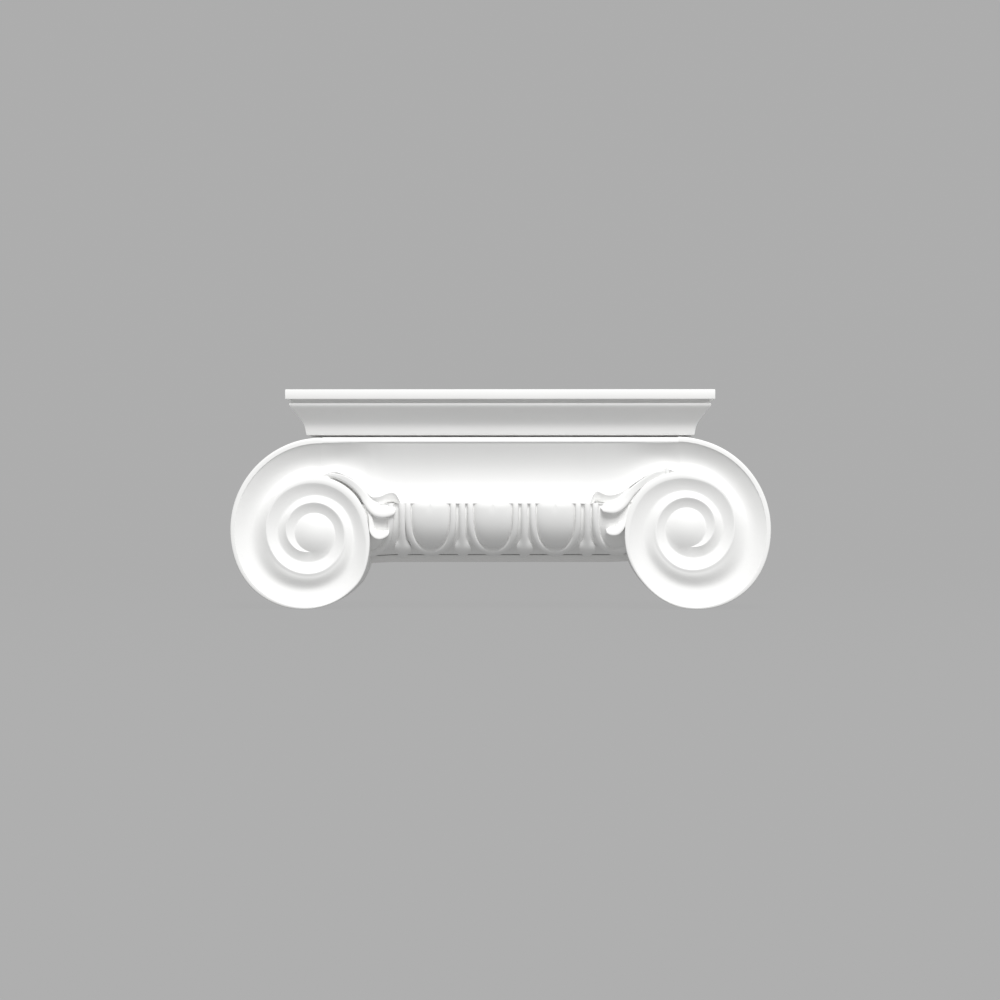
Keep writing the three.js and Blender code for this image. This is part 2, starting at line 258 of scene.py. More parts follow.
def drop(degrees, inward, width, band, valley):
    """How far the channel lies behind the crests, at a distance in from its outer one."""
    sink = crest_sink(degrees)
    if inward <= band:
        edge = min(edge_round(degrees), band / 2)
        across = max(0, edge - inward)
        depth_for_width = edge_round(degrees) / max(edge, 1e-9)
        rounding = depth_for_width * (edge - math.sqrt(max(0, edge ** 2 - across ** 2)))
        return sink + rounding + edge_roll(degrees) * (1 - inward / band) ** 2
    hollow = max(through(HOLLOWS, degrees), sink)
    step = LISTEL_STEP * (1 - smooth(degrees, 60, 150))
    if inward <= valley:
        share = (inward - band) / (valley - band)
        return sink + step + (hollow - sink) * flank(share, degrees, OUTER_ROUND)
    end = rim(degrees + 360)
    share = (width - inward) / (width - valley)
    return end + (hollow + step - end) * inner_flank(share, degrees, INNER_ROUND)


def strip_row(degrees):
    """One row of the strip: radius and depth from the outer crest to the inner one."""
    outer = crest_radius(degrees)
    inner = crest_radius(degrees + 360)
    width = outer - inner
    valley = max(0.3 * width, min(outer - through(VALLEYS, degrees), 0.98 * width))
    band = min(through(BANDS, degrees), 0.4 * valley)
    edge = min(edge_round(degrees), band / 2)
    wall = min(0.12, 0.01 * width)
    # Close together on the rounded edge, then the band, then both flanks.
    places = [0, 0.03 * edge, 0.13 * edge, 0.4 * edge, edge, (edge + band) / 2, band]
    places += [band + min(0.03, 0.01 * width)]
    places += spread(band, valley, FLANK_POINTS)[1:] + spread(valley, width - wall, FLANK_POINTS)[1:]
    drops = [
        drop(degrees, inward, width, band, valley) if width else crest_sink(degrees)
        for inward in places
    ]
    # The flanks are evened out a little, and the edge and the wall stay sharp.
    last = len(drops) - 1
    drops = [
        d if k < 8 or k >= last - 1 else (drops[k - 1] + 2 * d + drops[k + 1]) / 4
        for k, d in enumerate(drops)
    ]
    row = [(outer - inward, SCROLL_DEPTH - d) for inward, d in zip(places, drops)]
    return row + [(inner, SCROLL_DEPTH - rim(degrees + 360))]


def round_eye(radius, degrees, depth):
    angle = math.radians(degrees)
    return from_wall(EYE_X + radius * math.sin(angle), depth, EYE_Z + radius * math.cos(angle))


rows = [strip_row(START + STEP * i) for i in range(STRIP_ROWS)]
print("strip:", len(rows), "rows of", len(rows[0]), "ends at", round(END, 1), "degrees")

# %% Wind the strip and sew it
bpy.ops.object.select_all(action="DESELECT")
bpy.ops.mesh.primitive_grid_add(x_subdivisions=len(rows[0]) - 1, y_subdivisions=len(rows) - 1, size=1)
scroll = bpy.context.object
scroll.name = "scroll"
place(scroll, [round_eye(r, START + STEP * i, d) for i, row in enumerate(rows) for r, d in row])
edit(scroll)
bpy.ops.mesh.select_all(action="SELECT")
bpy.ops.mesh.remove_doubles(threshold=0.001 * MM)
bpy.ops.mesh.dissolve_degenerate(threshold=1e-7)
close_edit()

# %% [markdown]
# Most of what follows starts from an open edge: it is selected, extruded and closed.
# This helper finds such edges by their place.

# %% Open edges
def boundary(obj, test):
    """In edit mode, select the open edges whose ends both pass the test."""
    bpy.ops.mesh.select_mode(type="EDGE")
    bpy.ops.mesh.select_all(action="DESELECT")
    bpy.ops.mesh.select_non_manifold(
        extend=False, use_wire=False, use_multi_face=False, use_non_contiguous=False, use_verts=False,
    )
    close_edit()
    for edge in obj.data.edges:
        ends = [obj.data.vertices[i].co / MM for i in edge.vertices]
        if edge.select and not all(test(end) for end in ends):
            edge.select = False
    for vertex in obj.data.vertices:
        vertex.select = False
    for polygon in obj.data.polygons:
        polygon.select = False
    chosen = [edge.index for edge in obj.data.edges if edge.select]
    for i in chosen:
        for v in obj.data.edges[i].vertices:
            obj.data.vertices[v].select = True
    bpy.ops.object.mode_set(mode="EDIT")
    return len(chosen)


# %% [markdown]
# The eye is a low dome. The open ring that the strip leaves round it is extruded
# and shrunk a few times, each ring a little further forward, and the last ring is
# merged at the middle.

# %% The eye
EYE_DOME = 3.3
EYE_RINGS = [0.97, 0.92, 0.85, 0.76, 0.66, 0.55, 0.43, 0.3, 0.15]


def from_eye(point):
    return math.hypot(point.x - EYE_X, point.z - EYE_Z)


edit(scroll)
ring = boundary(scroll, lambda p: from_eye(p) < EYE_RADIUS + 0.05)
eye_centre = Vector(from_wall(EYE_X, SCROLL_DEPTH, EYE_Z)) * MM
before = 1.0
for share in EYE_RINGS:
    bpy.ops.mesh.extrude_region_move()
    shrink = share / before
    bpy.ops.transform.resize(value=(shrink, 1, shrink), center_override=eye_centre)
    before = share
bpy.ops.mesh.extrude_region_move()
bpy.ops.mesh.merge(type="CENTER")
close_edit()
for vertex in scroll.data.vertices:
    share = from_eye(vertex.co / MM) / EYE_RADIUS
    if share < 0.985:
        rise = EYE_DOME * (1 - share ** 2)
        vertex.co.y = BACK_Y - (SCROLL_DEPTH - EYE_FOOT + rise) * MM
print("edges round the eye:", ring)

# %% [markdown]
# The scroll's side is plain, as a cast one is. Its outline is extruded straight back
# and pressed flat on the wall, and one face closes it there.

# %% The side and the back of the scroll
edit(scroll)
outline = boundary(scroll, lambda p: True)
bpy.ops.mesh.extrude_region_move(TRANSFORM_OT_translate={"value": (0, SCROLL_DEPTH * MM, 0)})
bpy.ops.transform.resize(value=(1, 0, 1), center_override=(0, BACK_Y, 0))
bpy.ops.mesh.edge_face_add()
close_edit()
tidy_mesh(scroll)
print("outline edges:", outline, "closed:", is_closed(scroll), "faces:", len(scroll.data.polygons))

# %% [markdown]
# ## The middle: one outline that changes towards the scrolls
# Between the scrolls the front is the same all along: the top band (listel), the
# hollow channel, the curve that carries the eggs (ovolo) and the neck, whose foot
# is set back a little so that a thin shadow shows there. Close to a
# scroll the channel's lower lip climbs over the half palmette and takes on the
# scroll's own section. A grid does this well. Each of its rows is one outline of the
# middle, and the rows lie close together where the section changes.

# %% Sections of the middle
CHANNEL_DEEPEST = 0.57
CHANNEL_HOLLOW = 6
COVE = 1.35
COVE_HEIGHT = 3.2
# Under the lip the moulding falls back gently at first and then steeply, to a limit.
GENTLE_FALL = 0.42
STEEP_FALL = 2.2
DEEPEST_FALL = 4.6
GENTLE_AT_LEAVES = 0.3
GENTLE_BETWEEN = 4.6
# Heights above the eye at distances inward from it: where the channel's curve would
# end, and the lip where the curled edge of the leaves cuts it off on each side.
ENDS = [
    (-6, 34), (0, 34.8), (6, 36.2), (12, 36.6), (18, 35), (24, 32), (30, 27.6), (36, 23), (42, 19.6),
    (48, 17.6), (54, 16.9), (60, 16.8), (80, 16.8), (100, 16.8),
]
LIPS = {
    "left": [
        (-6, 34), (0, 34.8), (6, 36.8), (12, 37.6), (18, 36), (24, 33), (29, 28.8), (33, 24.4),
        (36, 21.6), (39, 21.3), (42, 21.8), (46, 23.3), (49, 23.6), (51.5, 22.2), (53, 19.6),
        (54.5, 16.8), (60, 16.8), (80, 16.8), (100, 16.8),
    ],
    "right": [
        (-6, 34), (0, 34.8), (6, 36.4), (12, 37.2), (18, 36.3), (24, 34), (29, 31.2), (35, 27.4),
        (39, 24.4), (43, 22.4), (47.5, 21.6), (51, 22.2), (54, 23.6), (56, 24.3), (58, 23), (59.5, 20),
        (61, 16.8), (66, 16.8), (80, 16.8), (100, 16.8),
    ],
}


def ovolo_depth(z):
    """How far forward the ovolo is at a height."""
    angle = math.asin(min(1, (LEDGE_Z - z) / (LEDGE_Z - OVOLO_FOOT_Z)))
    return OVOLO_FOOT_DEPTH + (OVOLO_FRONT - OVOLO_FOOT_DEPTH) * math.cos(angle)


def cove(down):
    """The ovolo starts in a small cove under the ledge."""
    return COVE * (1 - down / COVE_HEIGHT) ** 2 if down < COVE_HEIGHT else 0


def straight_hollow(share):
    """How far behind the scroll's face the channel is, from listel (0) to lip (1)."""
    if share < CHANNEL_DEEPEST:
        return LISTEL_STEP + CHANNEL_HOLLOW * math.sin(math.pi / 2 * share / CHANNEL_DEEPEST)
    low = (share - CHANNEL_DEEPEST) / (1 - CHANNEL_DEEPEST)
    deepest = LISTEL_STEP + CHANNEL_HOLLOW
    return deepest + (SCROLL_DEPTH - LEDGE_DEPTH - deepest) * (1 - math.cos(math.pi / 2 * low ** 1.1))


def scroll_hollow(share):
    """The same where the middle meets the scroll."""
    outer = crest_radius(START)
    width = outer - crest_radius(START + 360)
    valley = outer - through(VALLEYS, START)
    return drop(START, LISTEL_HEIGHT + share * (width - LISTEL_HEIGHT), width, LISTEL_HEIGHT, valley)


def outline_at(side, inward):
    """Outline of the middle as depths and heights, at a distance inward from the eye."""
    lip = EYE_Z + through(LIPS[side], inward)
    end = min(lip, EYE_Z + through(ENDS, inward))
    nearness = 1 - smooth(inward, 1, 42)
    channel = []
    for z in spread(CHANNEL_TOP, lip, 34):
        share = (CHANNEL_TOP - z) / (CHANNEL_TOP - end)
        hollow = nearness * scroll_hollow(share) + (1 - nearness) * straight_hollow(share)
        channel.append((SCROLL_DEPTH - hollow, z))
    lip_depth = channel[-1][0]
    gentle = GENTLE_AT_LEAVES + GENTLE_BETWEEN * smooth(inward, 34, 42)
    under = []
    for z in spread(lip, LEDGE_Z, 19)[1:]:
        fall = GENTLE_FALL * min(lip - z, gentle) + STEEP_FALL * max(0, lip - z - gentle)
        under.append((lip_depth - min(fall, DEEPEST_FALL) * smooth(inward, 3, 16), z))
    downs = [0, 0.25, 0.6, 1, 1.5, 2.1, 2.7]
    downs += [(LEDGE_Z - OVOLO_FOOT_Z) * math.sin(a) for a in spread(0.1, math.pi / 2, 25)]
    ovolo = [(ovolo_depth(LEDGE_Z - down) + cove(down), LEDGE_Z - down) for down in downs]
    return [
        (0, LISTEL_TOP),
        (SCROLL_DEPTH - 1.0, LISTEL_TOP),
        (SCROLL_DEPTH - 0.6, LISTEL_TOP - 0.15),
        (SCROLL_DEPTH - 0.35, LISTEL_TOP - 0.6),
        (SCROLL_DEPTH, CHANNEL_TOP + 0.5),
        (SCROLL_DEPTH - 0.2, CHANNEL_TOP + 0.12),
        *channel,
        *under,
        *ovolo,
        (OVOLO_FOOT_DEPTH - 0.35, OVOLO_FOOT_Z - 0.1),
        (OVOLO_FOOT_DEPTH - 0.35, NECK_TOP),
        (NECK_DEPTH - 0.5, NECK_TOP),
        (NECK_DEPTH - 0.1, NECK_TOP - 0.2),
        (NECK_DEPTH, NECK_TOP - 0.6),
        (NECK_DEPTH, NECK_Z + 1.9),
        (NECK_DEPTH - 0.2, NECK_Z + 1.6),
        (NECK_DEPTH - 2.6, NECK_Z + 1.5),
        (NECK_DEPTH - 2.8, NECK_Z + 1.2),
        (NECK_DEPTH - 2.8, NECK_Z),
        (0, NECK_Z),
    ]


# %% Skin between the outlines
def end_x(z):
    """The middle stops where the scrolls' arcs start, on a line through each eye."""
    return EYE_X - ARC_SHIFT * (z - EYE_Z) / CREST_TOP


inwards = [-0.02, 1.5, 3, 5, 7.5, 10, 12.5, 15] + spread(17, 71, 37) + [76]
stations = [("left", inward) for inward in inwards] + [("right", inward) for inward in reversed(inwards)]
points = []
for side, inward in stations:
    slant = 1 - smooth(inward, 0, 20)
    sign = -1 if side == "left" else 1
    outline = outline_at(side, inward)
    for depth, z in outline + outline[:1]:
        x = EYE_X - inward + slant * (end_x(z) - EYE_X)
        points.append(from_wall(sign * x, depth, z))
bpy.ops.object.select_all(action="DESELECT")
bpy.ops.mesh.primitive_grid_add(
    x_subdivisions=len(outline), y_subdivisions=len(stations) - 1, size=1,
)
middle = bpy.context.object
middle.name = "middle"
place(middle, points)
edit(middle)
bpy.ops.mesh.select_all(action="SELECT")
bpy.ops.mesh.remove_doubles(threshold=0.001 * MM)
for sign in (-1, 1):
    boundary(middle, lambda p: p.x * sign > 0)
    bpy.ops.mesh.edge_face_add()
close_edit()
tidy_mesh(middle)
print("middle closed:", is_closed(middle), "faces:", len(middle.data.polygons))

# %% [markdown]
# ## The abacus: resized outlines and one saw cut
# The abacus is a moulded slab whose profile turns the corners with mitres. Making
# it twice as deep as it is turns it into a plain four-sided moulding round the
# wall line: the top outline is extruded down, and each new edge is resized to the
# next step of the profile. One bisect at the wall then saws the back half away.

# %% Abacus
ABACUS_HALF_WIDTH = 134.4
ABACUS_DEPTH = 72
# How far each line lies inside the top outline, and its height. From the top down
# they are a fillet, a narrow groove, a bead, a hollow curve, a band and a deep groove.
ABACUS_STEPS = [
    (0.5, TOP_Z / MM), (0.12, TOP_Z / MM - 0.15), (0, TOP_Z / MM - 0.6),
    (0, 132.3), (0.12, 132), (0.5, 131.85), (3.4, 131.8), (3.6, 131.5), (3.6, 129.9), (3.4, 129.55),
    (2.6, 129.4), (2.35, 129.1), (2.4, 128.6), (2.6, 128), (3.0, 127.3), (3.6, 126.5), (4.6, 125.2),
    (6.0, 123.5), (7.2, 121.9), (8.4, 120.3), (9.35, 119), (10.15, 117.8), (10.85, 116.5),
    (11.35, 115.3), (11.8, 113.5), (12.2, 111.3), (12.4, 110.1), (12.6, 109.7), (13.1, 109.5),
    (21, 109.5), (21, 107.2),
]
bpy.ops.object.select_all(action="DESELECT")
bpy.ops.mesh.primitive_plane_add(size=2 * MM, location=(0, BACK_Y, TOP_Z))
abacus = bpy.context.object
abacus.name = "abacus"
bpy.ops.object.transform_apply(location=True, rotation=False, scale=False)
edit(abacus)
bpy.ops.mesh.select_all(action="SELECT")
wall_line = (0, BACK_Y, 0)
half_x, half_y = 1.0, 1.0
height = TOP_Z / MM
for i, (inset, z) in enumerate(ABACUS_STEPS):
    if i:
        bpy.ops.mesh.extrude_region_move(TRANSFORM_OT_translate={"value": (0, 0, (z - height) * MM)})
    new_x, new_y = ABACUS_HALF_WIDTH - inset, ABACUS_DEPTH - inset
    bpy.ops.transform.resize(value=(new_x / half_x, new_y / half_y, 1), center_override=wall_line)
    half_x, half_y, height = new_x, new_y, z
bpy.ops.mesh.select_all(action="SELECT")
bpy.ops.mesh.bisect(
    plane_co=wall_line, plane_no=(0, 1, 0), use_fill=True, clear_outer=True, clear_inner=False,
)
close_edit()
tidy_mesh(abacus)
print("abacus closed:", is_closed(abacus), "size mm:", [round(v / MM, 1) for v in abacus.dimensions])

# %% [markdown]
# ## Eggs in their shells
# Each egg lies in a shell that runs down both its sides and under it. Carved in
# wood, both follow one U-shaped line, so a grid does here too: its rows go round
# the U and its columns go out from the middle of the egg, over the groove and
# across the shell. The flat relief is then wrapped on the ovolo's curve.

# %% Wrap a relief on the ovolo
RELIEF_TOP = -0.4
ROUND_TOP = 3.0
TOP_LOSS = 0.15


def on_ovolo(x, down, out):
    """The point that stands out from the ovolo at x, at a distance down from its top edge."""
    z = LEDGE_Z - down
    run = math.hypot(1, (ovolo_depth(z) - ovolo_depth(z + 0.1)) / 0.1)
    fall = (ovolo_depth(z + 0.1) - ovolo_depth(z)) / 0.1 / run
    top = max(0, ROUND_TOP - down) / ROUND_TOP
    rise = out * (1 - TOP_LOSS * top * top) if out > 0 else out
    return from_wall(x, ovolo_depth(z) + rise / run, z - rise * fall)


# %% One egg
EGG_PITCH = 39.3
ROW_SHIFT = -4.6
EGG_HALF = 11.9
EGG_DROP = 28.3
# Lines across the groove and the shell: half width, lowest point below the ovolo's
# edge, and how far the line stands out. The last one goes into the moulding.
SHELL_LINES = [
    (11.9, 28.3, 0.2), (12.2, 28.5, 0.2), (12.4, 28.7, 1.3), (12.8, 29, 2.0), (13.6, 29.5, 2.35),
    (14.5, 30.2, 2.45), (15.3, 30.9, 2.25), (15.9, 31.5, 1.7), (16.2, 31.8, 0.7), (16.35, 32, -1.5),
]
EGG_EDGE = 0.25
EGG_FULLNESS = 2.3
EGG_SHARES = [0.004, 0.15, 0.3, 0.45, 0.58, 0.7, 0.8, 0.88, 0.94, 0.98]
EGG_ROWS = 73


def on_u(half_width, lowest, bluntness, angle):
    """A point on the U: level with its top at angle 0 and pi, at its foot half way.

    A blunter U keeps its sides straight for longer.
    """
    sink = math.sin(angle)
    out_to = (1 - min(1, sink) ** bluntness) ** 0.48
    side = 1 if angle < math.pi / 2 else -1
    return side * half_width * out_to, RELIEF_TOP + (lowest - RELIEF_TOP) * sink


def make_egg(name, height):
    """An egg that stands out by height within its shell."""
    lines = []
    for share in EGG_SHARES:
        out = EGG_EDGE + (height - EGG_EDGE) * math.sqrt(1 - share ** EGG_FULLNESS)
        lines.append((EGG_HALF * share, EGG_DROP * share, out, 2.4 + 1.4 * share))
    lines += [(half, low, out, 3.8 + 0.5 * i / 9) for i, (half, low, out) in enumerate(SHELL_LINES)]
    cast = []
    for angle in spread(0, math.pi, EGG_ROWS):
        for half, low, out, bluntness in lines:
            x, down = on_u(half, low, bluntness, angle)
            cast.append(on_ovolo(x, down, out))
    bpy.ops.object.select_all(action="DESELECT")
    bpy.ops.mesh.primitive_grid_add(x_subdivisions=len(lines) - 1, y_subdivisions=EGG_ROWS - 1, size=1)
    made = bpy.context.object
    made.name = name
    place(made, cast)
    back_with_block(made)
    return made


def back_with_block(obj):
    """Close a relief by drawing its open edge back into the moulding."""
    edit(obj)
    bpy.ops.mesh.select_all(action="SELECT")
    bpy.ops.mesh.remove_doubles(threshold=0.001 * MM)
    boundary(obj, lambda p: True)
    bpy.ops.mesh.extrude_region_move(TRANSFORM_OT_translate={"value": (0, 12 * MM, 0)})
    bpy.ops.transform.resize(value=(1, 0, 1), center_override=(0, BACK_Y - 30 * MM, 0))
    bpy.ops.mesh.edge_face_add()
    close_edit()
    tidy_mesh(obj)


EGG_HEIGHT = 3.2
HOLLOW_EGG_HEIGHT = 0.5
egg = make_egg("egg", EGG_HEIGHT)
hollow_egg = make_egg("egg_behind_palmette", HOLLOW_EGG_HEIGHT)
print("eggs closed:", is_closed(egg), is_closed(hollow_egg), "faces:", len(egg.data.polygons))

# %% [markdown]
# ## Darts
# A dart is a slim stem with a ridge, ending in a spade-shaped point between two
# shells. Its rows go down the dart and its columns across it.

# %% One dart
# Distance down from the ovolo's top edge, half width, height of the ridge and the edge.
DART_ROWS = [
    (RELIEF_TOP, 1.85, 2.5, 1.8), (1.5, 1.85, 2.4, 1.6), (5, 1.85, 2.3, 1.4), (12, 1.85, 2.2, 1.3),
    (18, 1.95, 2.2, 1.3), (20.5, 2.15, 2.3, 1.2), (22.5, 2.7, 2.5, 1.2), (24, 3.7, 2.8, 1.5),
    (25.3, 4.7, 3.2, 2.0), (26.6, 5.2, 3.5, 2.3), (28, 5.1, 3.7, 2.4), (29.2, 4.4, 3.7, 2.4),
    (30.3, 3.3, 3.5, 2.2), (31.2, 1.9, 3.0, 1.8), (31.7, 0.5, 2.2, 1.2),
]
DART_ACROSS = [-1, -1, -0.88, -0.6, -0.3, -0.1, 0, 0.1, 0.3, 0.6, 0.88, 1, 1]

points = []
for down, half_width, ridge, brink in DART_ROWS:
    for i, across in enumerate(DART_ACROSS):
        outermost = i in (0, len(DART_ACROSS) - 1)
        out = -1.5 if outermost else brink + (ridge - brink) * (1 - across ** 2) ** 0.8
        points.append(on_ovolo(across * half_width, down, out))
bpy.ops.object.select_all(action="DESELECT")
bpy.ops.mesh.primitive_grid_add(
    x_subdivisions=len(DART_ACROSS) - 1, y_subdivisions=len(DART_ROWS) - 1, size=1,
)
dart = bpy.context.object
dart.name = "dart"
place(dart, points)
back_with_block(dart)
print("dart closed:", is_closed(dart))

# %% [markdown]
# ## Half palmettes
# In the corner between scroll and ovolo lies half a palmette. A leaf comes out from
# under the top of the ring, widens downwards and curls over the eggs. A thinner one
# hugs the ring and ends in a crescent. The two sides of the real piece differ a
# little, as carved ones do, so each side has its own leaves. On the right the
# crescent's stem is a part of its own, and a small tie holds the broad leaf. Each
# leaf is lofted: its section is carried along the leaf's middle line, growing and
# shrinking on the way, and rounded off at the tip.

# %% Leaves
# Middle line as distances from the eye, inward and up, then half width, depth of the
# lower edge, and how far the upper edge lies behind that, in mm.
LEAVES = {
    "left": {
        "broad": [
            (5, 36.3, 0.4, 58.6, 0.1), (10, 36, 0.9, 59, -0.1), (15, 34.9, 1.4, 59.3, -0.4),
            (20.4, 32.6, 1.8, 59.6, -0.6), (26, 28.6, 2.1, 59.8, -0.5), (30.4, 23.8, 2.4, 60.1, 0.1),
            (34.2, 18.3, 3.2, 60.6, 1.5), (39, 13.6, 4.1, 61.2, 2.4), (44, 12.3, 4.2, 61.6, 2.4),
            (48.6, 12.8, 3.6, 61.6, 2.2), (51.2, 13.3, 2.6, 61.2, 2.0),
        ],
        "crescent": [
            (8, 35.6, 0.4, 58.2, 0.2), (14, 34.0, 0.8, 58.6, 0.2), (21, 30.6, 1.0, 58.8, 0.3),
            (27.8, 24.7, 1.05, 58.9, 0.3), (32.5, 17.1, 1.05, 59, 0.4), (35.1, 9.6, 1.1, 59.3, 0.5),
            (35.9, 4.2, 1.5, 59.8, 0.8), (36.7, 0.4, 1.9, 60.4, 1.2), (38.8, -2.2, 2.3, 60.8, 1.3),
            (41.6, -3, 2.35, 61, 1.4), (44.6, -1.9, 2.2, 61, 1.4), (47, 0.2, 1.7, 60.8, 1.0),
        ],
    },
    "right": {
        "broad": [
            (11, 35.6, 1.2, 59.2, -0.3), (15, 35, 1.6, 59.5, -0.5), (20, 33.6, 2.0, 59.8, -0.7),
            (28.6, 28.1, 2.2, 59.9, -0.6), (35, 22.6, 2.7, 60.2, 0.4), (40, 17.4, 3.8, 60.8, 1.9),
            (45, 14.1, 4.2, 61.4, 2.4), (50, 13.9, 3.4, 61.6, 2.2), (54, 14.3, 2.4, 61.2, 1.8),
        ],
        "crescent": [
            (36.2, 14, 0.5, 59.2, 0.3), (37.2, 10, 1.1, 59.6, 0.6), (38.6, 6, 1.7, 60, 0.9),
            (40.8, 2.2, 2.5, 60.6, 1.3), (43.8, -0.9, 2.9, 61, 1.5), (47.2, -1.3, 2.5, 61, 1.4),
            (50.4, 0.2, 1.8, 60.8, 1.0),
        ],
        "stem": [
            (14, 35.6, 0.8, 58.4, 0.3), (22, 31.5, 1.1, 58.6, 0.3), (29, 25.4, 1.2, 58.6, 0.3),
            (34, 18, 1.2, 58.6, 0.4), (36.5, 11, 1.0, 58.4, 0.4),
        ],
        "tie": [(12.2, 33.8, 1.1, 60.2, 0.2), (12.1, 35.5, 1.25, 60.4, 0.2), (12, 38.6, 1.1, 60.2, 0.2)],
    },
}
LEAF_ACROSS = 19
LEAF_ROWS = 60
LEAF_BACK = 12
TIP_FALL = 1.2
EDGE_FALL = 0.45


def along(points, share):
    """A point on the smooth curve through the listed points, each of several numbers."""
    at = share * (len(points) - 1)
    padded = [[2 * a - b for a, b in zip(points[0], points[1])], *points,
              [2 * a - b for a, b in zip(points[-1], points[-2])]]
    columns = [[(k - 1, values[j]) for k, values in enumerate(padded)] for j in range(len(points[0]))]
    return [through(column, at) for column in columns]


def leaf(name, sign, points):
    """Loft a leaf: gently rounded in front, with straight sides going back into the moulding."""
    cast = []
    for i in range(LEAF_ROWS):
        share = i / (LEAF_ROWS - 1)
        inward, up, half, front, lean = along(points, share)
        low, high = along(points, max(0, share - 0.01)), along(points, min(1, share + 0.01))
        run = math.hypot(high[0] - low[0], high[1] - low[1])
        across = (-(high[1] - low[1]) / run, (high[0] - low[0]) / run)
        tip = smooth(share, 0.9, 1.0)
        half *= math.sqrt(max(0.001, 1 - tip ** 2))
        front -= TIP_FALL * tip ** 3
        section = [(1, front - LEAF_BACK)]
        for angle in spread(0, math.pi, LEAF_ACROSS):
            t = math.cos(angle)
            edge = 1 - (1 - abs(t) ** 3) ** (1 / 3)
            section.append((t, front - lean * ((t + 1) / 2) ** 1.4 - EDGE_FALL * half * edge))
        section.append((-1, front - LEAF_BACK))
        for t, depth in section + section[:1]:
            x = EYE_X - inward - across[0] * t * half
            cast.append(from_wall(sign * x, depth, EYE_Z + up + across[1] * t * half))
    bpy.ops.object.select_all(action="DESELECT")
    bpy.ops.mesh.primitive_grid_add(x_subdivisions=LEAF_ACROSS + 2, y_subdivisions=LEAF_ROWS - 1, size=1)
    made = bpy.context.object
    made.name = name
    place(made, cast)
    edit(made)
    bpy.ops.mesh.select_all(action="SELECT")
    bpy.ops.mesh.remove_doubles(threshold=0.001 * MM)
    bpy.ops.mesh.select_all(action="DESELECT")
    bpy.ops.mesh.select_non_manifold(extend=False)
    bpy.ops.mesh.fill_holes(sides=0)
    close_edit()
    tidy_mesh(made)
    return made


leaves = []
for side, sign in (("left", -1), ("right", 1)):
    leaves += [leaf(name + "_leaf_" + side, sign, points) for name, points in LEAVES[side].items()]
print("leaves closed:", [is_closed(part) for part in leaves])

# %% [markdown]
# ## One casting
# The parts are joined with boolean unions. What repeats is copied first: the eggs
# and darts along the ovolo, and the scroll on the left side.

# %% Copies
def copy_of(obj, name, shift=0, mirror=False):
    """A copy with its own mesh, moved along the row or mirrored to the other side."""
    bpy.ops.object.select_all(action="DESELECT")
    obj.select_set(True)
    bpy.context.view_layer.objects.active = obj
    bpy.ops.object.duplicate()
    twin = bpy.context.object
    twin.name = name
    edit(twin)
    bpy.ops.mesh.select_all(action="SELECT")
    if shift:
        bpy.ops.transform.translate(value=(shift * MM, 0, 0))
    if mirror:
        bpy.ops.transform.resize(value=(-1, 1, 1), center_override=(0, 0, 0))
        bpy.ops.mesh.flip_normals()
    close_edit()
    return twin


DARTS_AT = [-61.8, -24.0, 15.2, 54.8]
row = [copy_of(egg, f"egg_{n}", shift=ROW_SHIFT + n * EGG_PITCH) for n in (-1, 0, 1)]
row += [copy_of(hollow_egg, f"end_egg_{n}", shift=ROW_SHIFT + n * EGG_PITCH) for n in (-2, 2)]
row += [copy_of(dart, f"dart_{n}", shift=x) for n, x in enumerate(DARTS_AT)]
for pattern in (egg, hollow_egg, dart):
    bpy.data.objects.remove(pattern)
left_scroll = copy_of(scroll, "left_scroll", mirror=True)

# %% [markdown]
# The ring under the palmette isn't the same on both sides either. On the left it is
# a little tighter and leaves a dark slit under the leaves, on the right it is wider.

# %% Ease the rings
# How far the ring's outer edge moves away from the eye, in mm, at turns in degrees
# from straight above the eye towards the middle of the capital.
LEFT_EASE = [
    (-30, 0), (-12, 0), (10, -0.5), (45, -1.8), (75, -2.7), (95, -2.8), (115, -2.2), (140, 0), (160, 0),
]
RIGHT_EASE = [
    (-30, 0), (-12, 0), (10, 0.5), (45, 1.5), (75, 1.4), (95, 1.2), (115, 0.8), (140, 0), (160, 0),
]
RING_STARTS = 20
RING_FULL = 33


def ease_ring(obj, side, ease):
    """Move the ring towards the eye or away from it, where the palmette lies on it."""
    for vertex in obj.data.vertices:
        spot = vertex.co / MM
        inward, up = EYE_X - side * spot.x, spot.z - EYE_Z
        radius = math.hypot(inward, up)
        turn = math.degrees(math.atan2(inward, up))
        if -12 < turn < 140 and radius > RING_STARTS:
            grown = 1 + through(ease, turn) * smooth(radius, RING_STARTS, RING_FULL) / radius
            vertex.co.x = side * (EYE_X - inward * grown) * MM
            vertex.co.z = (EYE_Z + up * grown) * MM


ease_ring(left_scroll, -1, LEFT_EASE)
ease_ring(scroll, 1, RIGHT_EASE)

# %% [markdown]
# Before the unions, a block a little smaller than each scroll's outline is cut out of
# the middle, so that nothing of the middle shows through the scroll's hollows.

# %% Cut and union
CORE_INSET = 1.2
CORE_OUTWARD = 30
CORE_FRONT = 90
CORE_LENGTH = 120


